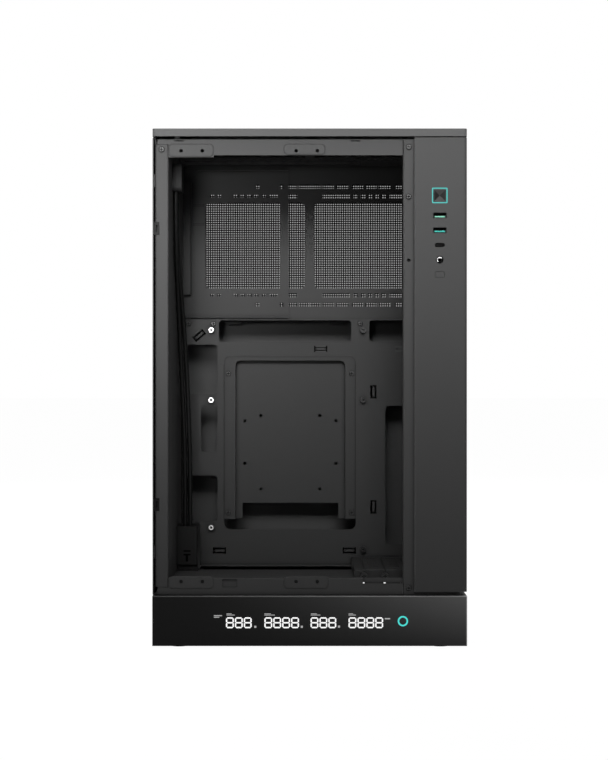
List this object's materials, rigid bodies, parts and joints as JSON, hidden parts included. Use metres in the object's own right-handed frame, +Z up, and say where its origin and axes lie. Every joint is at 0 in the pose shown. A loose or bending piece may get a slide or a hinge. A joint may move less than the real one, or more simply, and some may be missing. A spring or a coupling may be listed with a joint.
{
  "type": "micro atx pc case",
  "caption": "Upright micro ATX computer case with its glass side off, bottom-facing ports, a display strip in the base and a perforated far panel.",
  "frame": {"origin": "middle of the footprint, on the floor", "axes": "+X to the right along the open side, +Y from the open side into the case, +Z up"},
  "size_m": [0.296, 0.231, 0.489],
  "materials": {
    "powder_coat": "fine matt powder coat",
    "cover_coat": "fine matt powder coat",
    "gloss_fascia": "gloss black",
    "moulded_black": "matt moulded plastic",
    "rubber": "matt rubber",
    "lead_jacket": "smooth flexible jacket",
    "circuit_board": "solder mask",
    "bright_steel": "plated steel",
    "teal_plastic": "clear coloured plastic",
    "black_steel": "black zinc"
  },
  "bodies": {
    "chassis": {"base_skirt": "moulded_black", "display_fascia": "gloss_fascia", "display_board": "circuit_board", "floor_panel": "powder_coat", "roof_panel": "powder_coat", "left_wall": "powder_coat", "right_wall": "powder_coat", "motherboard_tray": "powder_coat", "drive_plate": "powder_coat", "drive_plate_screws": "black_steel", "fan_bracket": "powder_coat", "supply_bracket": "powder_coat", "slot_frame": "powder_coat", "thumbscrews": "black_steel", "frame_screws": "black_steel", "board_standoffs": "bright_steel", "control_cover": "cover_coat", "power_ring": "teal_plastic", "power_switch": "moulded_black", "reset_switch": "moulded_black", "control_board": "circuit_board", "board_posts": "black_steel", "usb_c_socket": "bright_steel", "audio_jack": "bright_steel", "left_panel": "cover_coat", "stud_clips": "moulded_black", "panel_clips": "moulded_black", "inlet_housing": "moulded_black", "inlet_socket": "moulded_black", "inlet_plug": "moulded_black", "foot_1": "rubber", "foot_2": "rubber", "foot_3": "rubber", "foot_4": "rubber", "slot_cover_1": "powder_coat", "slot_cover_2": "powder_coat", "slot_cover_3": "powder_coat", "slot_cover_4": "powder_coat", "usb_a_socket_1": "bright_steel", "usb_a_tongue_1": "teal_plastic", "usb_a_socket_2": "bright_steel", "usb_a_tongue_2": "teal_plastic", "inlet_lead_1": "lead_jacket", "inlet_lead_2": "lead_jacket"},
    "power_button": {"power_button": "moulded_black"},
    "reset_button": {"reset_button": "moulded_black"},
    "lid": {"top_lid": "cover_coat", "top_filter": "moulded_black"},
    "panel": {"side_panel": "cover_coat"}
  },
  "joints": [
    {"name": "power_button_press", "type": "slide", "parent": "chassis", "child": "power_button", "axis": [0, 1, 0], "range_m": [0, 0.0012], "stiffness_N_per_m": 1600},
    {"name": "reset_button_press", "type": "slide", "parent": "chassis", "child": "reset_button", "axis": [0, 1, 0], "range_m": [0, 0.0008], "stiffness_N_per_m": 1600},
    {"name": "lid_lift", "type": "slide", "parent": "chassis", "child": "lid", "axis": [0, 0, 1], "range_m": [0, 0.06]},
    {"name": "panel_pull", "type": "slide", "parent": "chassis", "child": "panel", "axis": [0, 1, 0], "range_m": [0, 0.06]}
  ]
}
